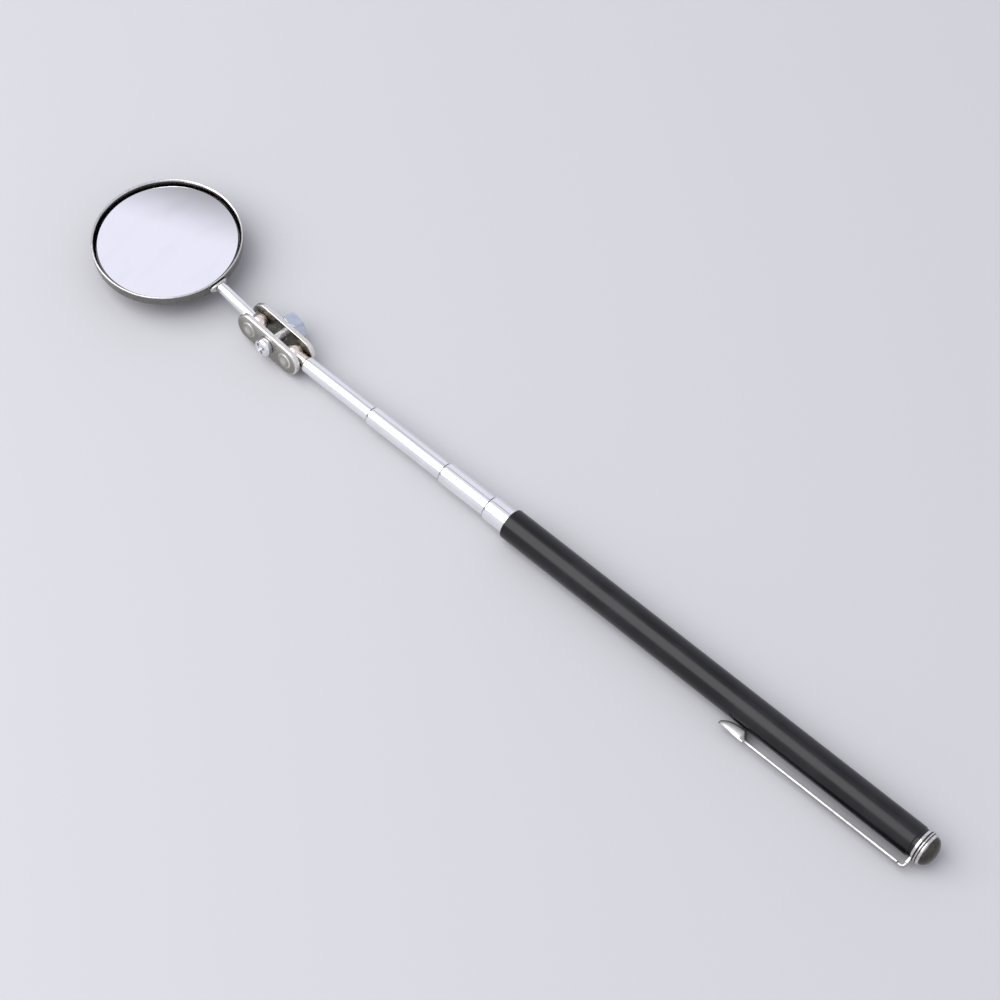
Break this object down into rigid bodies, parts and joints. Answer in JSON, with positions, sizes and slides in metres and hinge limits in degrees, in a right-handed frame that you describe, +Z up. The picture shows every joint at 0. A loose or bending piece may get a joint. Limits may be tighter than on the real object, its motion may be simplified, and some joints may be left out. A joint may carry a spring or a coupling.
{
  "type": "telescoping inspection mirror",
  "caption": "Pocket inspection mirror: round mirror in a shallow cup on a two-ball clamp, at the end of a telescoping wand with a sleeved handle and pocket clip.",
  "frame": {"origin": "centre of the object's footprint at the level of its lowest point", "axes": "+X along the wand towards the mirror, +Z up out of the mirror's face, +Y towards the clamp screw's head"},
  "size_m": [0.2208, 0.0318, 0.0079],
  "materials": {
    "chrome": "bright chrome plate on steel",
    "bright_nickel": "bright nickel plate on pressed sheet",
    "ball_metal": "bright turned steel with a warm cast",
    "nickel_plate": "satin nickel plate, slightly pitted",
    "zinc_plate": "bluish zinc plate",
    "brass_shim": "plain rolled strip",
    "backing_pad": "dark matt board",
    "silvered_glass": "silvered behind, ground edge",
    "black_sleeve": "gloss black"
  },
  "bodies": {
    "handle": {"handle_tube": "chrome", "handle_sleeve": "black_sleeve", "clip_band": "bright_nickel", "end_cap": "bright_nickel"},
    "section_4": {"tube_4": "chrome", "friction_shim_4": "brass_shim"},
    "section_3": {"tube_3": "chrome", "friction_shim_3": "brass_shim"},
    "section_2": {"tube_2": "chrome", "friction_shim_2": "brass_shim"},
    "section_1": {"tube_1": "chrome", "friction_shim_1": "brass_shim"},
    "wand_ball": {"wand_ball": "ball_metal"},
    "clamp": {"clamp_plate_near": "nickel_plate", "clamp_plate_far": "nickel_plate", "clamp_nut": "zinc_plate"},
    "clamp_screw": {"clamp_screw": "zinc_plate"},
    "stem_ball": {"stem_ball": "ball_metal"},
    "mirror_head": {"mirror_stem": "chrome", "stem_saddle": "bright_nickel", "mirror_cup": "bright_nickel", "mirror_backing_pad": "backing_pad", "mirror_glass": "silvered_glass"},
    "clip_arm": {"clip_arm": "bright_nickel"}
  },
  "joints": [
    {"name": "section_4_slide", "type": "slide", "parent": "handle", "child": "section_4", "axis": [1, 0, 0], "range_m": [-0.004, 0.0806]},
    {"name": "section_3_slide", "type": "slide", "parent": "section_4", "child": "section_3", "axis": [1, 0, 0], "range_m": [-0.0107, 0.0714]},
    {"name": "section_2_slide", "type": "slide", "parent": "section_3", "child": "section_2", "axis": [1, 0, 0], "range_m": [-0.0189, 0.0607]},
    {"name": "section_1_slide", "type": "slide", "parent": "section_2", "child": "section_1", "axis": [1, 0, 0], "range_m": [-0.0171, 0.06]},
    {"name": "wand_twist", "type": "hinge", "parent": "section_1", "child": "wand_ball", "pos_m": [0.05573, 0.00128, 0.00362], "axis": [1, 0, 0], "continuous": true},
    {"name": "clamp_swing", "type": "hinge", "parent": "wand_ball", "child": "clamp", "pos_m": [0.05573, 0.00128, 0.00362], "axis": [0.0149, 0.9876, 0.1561], "range_deg": [-86, 94]},
    {"name": "clamp_screw_turn", "type": "hinge", "parent": "clamp", "child": "clamp_screw", "pos_m": [0.06096, 0.00114, 0.00398], "axis": [0.0149, 0.9876, 0.1561], "range_deg": [0, 360]},
    {"name": "head_swing", "type": "hinge", "parent": "clamp", "child": "stem_ball", "pos_m": [0.0662, 0.001, 0.00435], "axis": [0.0149, 0.9876, 0.1561], "range_deg": [-66.6, 73.4]},
    {"name": "head_twist", "type": "hinge", "parent": "stem_ball", "child": "mirror_head", "pos_m": [0.0662, 0.001, 0.00435], "axis": [0.9911, -0.0352, 0.1281], "continuous": true},
    {"name": "clip_flex", "type": "hinge", "parent": "handle", "child": "clip_arm", "pos_m": [-0.10697, 0.00544, 0.00219], "axis": [0, 0.3256, 0.9455], "range_deg": [0, 6], "stiffness_Nm_per_rad": 0.04}
  ]
}
